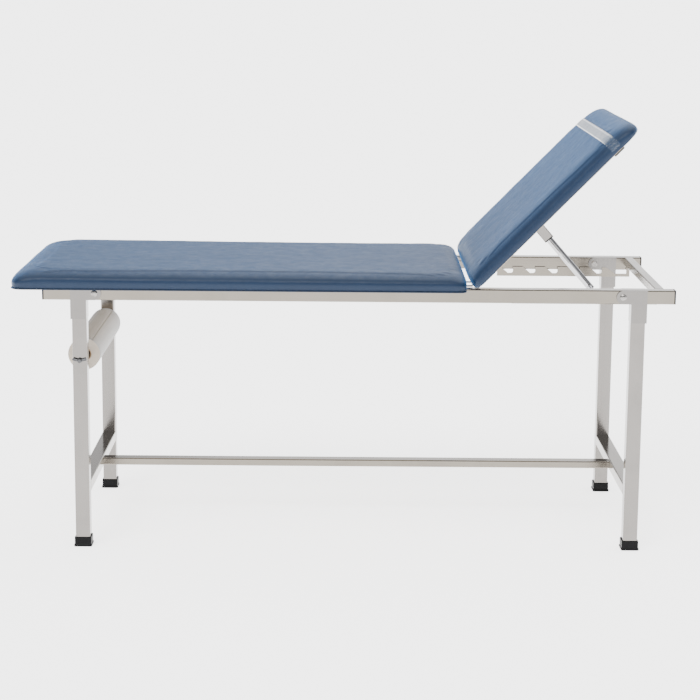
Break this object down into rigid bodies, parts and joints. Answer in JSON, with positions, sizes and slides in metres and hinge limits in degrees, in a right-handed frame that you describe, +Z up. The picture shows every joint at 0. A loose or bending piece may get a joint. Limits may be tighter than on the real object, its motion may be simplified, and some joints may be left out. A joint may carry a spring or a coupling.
{
  "type": "examination couch",
  "caption": "Examination couch on a steel tube frame, with a fixed seat pad, a ratchet backrest, a paper strap and a paper roll between the foot-end legs.",
  "frame": {"origin": "middle of the footprint, on the floor", "axes": "+X towards the head end, +Y across the couch away from the near side, +Z up"},
  "size_m": [1.807, 0.734, 1.1832],
  "materials": {
    "stainless_steel": "satin brushed, mirror bright on the inner faces",
    "chrome_tube": "polished",
    "dark_zinc": "dull dark plated",
    "blue_vinyl": "smooth soft-sheen leatherette",
    "clear_vinyl": "glossy pale film",
    "plywood": "pale, unvarnished",
    "black_plastic": "moulded, slightly shiny",
    "white_paper": "soft crepe paper",
    "brown_card": "spiral-wound card"
  },
  "bodies": {
    "frame": {"cross_bar_foot": "stainless_steel", "cross_bar_head": "stainless_steel", "cross_tube_foot": "stainless_steel", "cross_tube_head": "stainless_steel", "cross_tube_hinge": "stainless_steel", "foot_cap_foot_far": "black_plastic", "foot_cap_foot_near": "black_plastic", "foot_cap_head_far": "black_plastic", "foot_cap_head_near": "black_plastic", "hinge_pin_far": "stainless_steel", "hinge_pin_near": "stainless_steel", "hinge_seat_leaf_far": "stainless_steel", "hinge_seat_leaf_near": "stainless_steel", "leg_bolt_foot_far": "stainless_steel", "leg_bolt_foot_near": "stainless_steel", "leg_bolt_head_far": "stainless_steel", "leg_bolt_head_near": "stainless_steel", "leg_foot_far": "stainless_steel", "leg_foot_near": "stainless_steel", "leg_head_far": "stainless_steel", "leg_head_near": "stainless_steel", "leg_nut_foot_far": "stainless_steel", "leg_nut_foot_near": "stainless_steel", "leg_nut_head_far": "stainless_steel", "leg_nut_head_near": "stainless_steel", "leg_saddle_foot_far": "stainless_steel", "leg_saddle_foot_near": "stainless_steel", "leg_saddle_head_far": "stainless_steel", "leg_saddle_head_near": "stainless_steel", "rail_plug_foot_far": "black_plastic", "rail_plug_foot_near": "black_plastic", "rail_plug_head_far": "black_plastic", "rail_plug_head_near": "black_plastic", "ratchet_rack_far": "stainless_steel", "ratchet_rack_near": "stainless_steel", "roll_holder_tube": "stainless_steel", "seat_board": "plywood", "seat_cushion": "blue_vinyl", "side_rail_far": "stainless_steel", "side_rail_near": "stainless_steel", "stretcher": "stainless_steel", "stretcher_bolt_foot": "stainless_steel", "stretcher_bolt_head": "stainless_steel", "wing_bolt_far": "dark_zinc", "wing_bolt_near": "dark_zinc"},
    "roll": {"paper_roll": "white_paper", "roll_core": "brown_card"},
    "backrest": {"back_cushion": "blue_vinyl", "back_board": "plywood", "paper_strap": "clear_vinyl", "strap_buckle": "black_plastic", "hinge_back_leaf_near": "stainless_steel", "hinge_back_leaf_far": "stainless_steel", "strut_bracket": "stainless_steel", "strut_pin": "stainless_steel"},
    "strut": {"strut_sleeve": "stainless_steel", "strut_bush": "black_plastic", "strut_tube": "chrome_tube", "strut_foot_rod": "chrome_tube"}
  },
  "joints": [
    {"name": "backrest_tilt", "type": "hinge", "parent": "frame", "child": "backrest", "pos_m": [0.35615, 0, 0.7483], "axis": [0, -1, 0], "range_deg": [-45.6, 29.4]},
    {"name": "strut_swing", "type": "hinge", "parent": "backrest", "child": "strut", "pos_m": [0.53757, 0, 0.88578], "axis": [0, -1, 0], "range_deg": [-58.5, 90]},
    {"name": "roll_spin", "type": "hinge", "parent": "frame", "child": "roll", "pos_m": [-0.7205, 0, 0.528], "axis": [0, 1, 0], "continuous": true}
  ],
  "couplings": [
    {"joint": "strut_swing", "follows": "backrest_tilt", "ratio": -1.95}
  ]
}
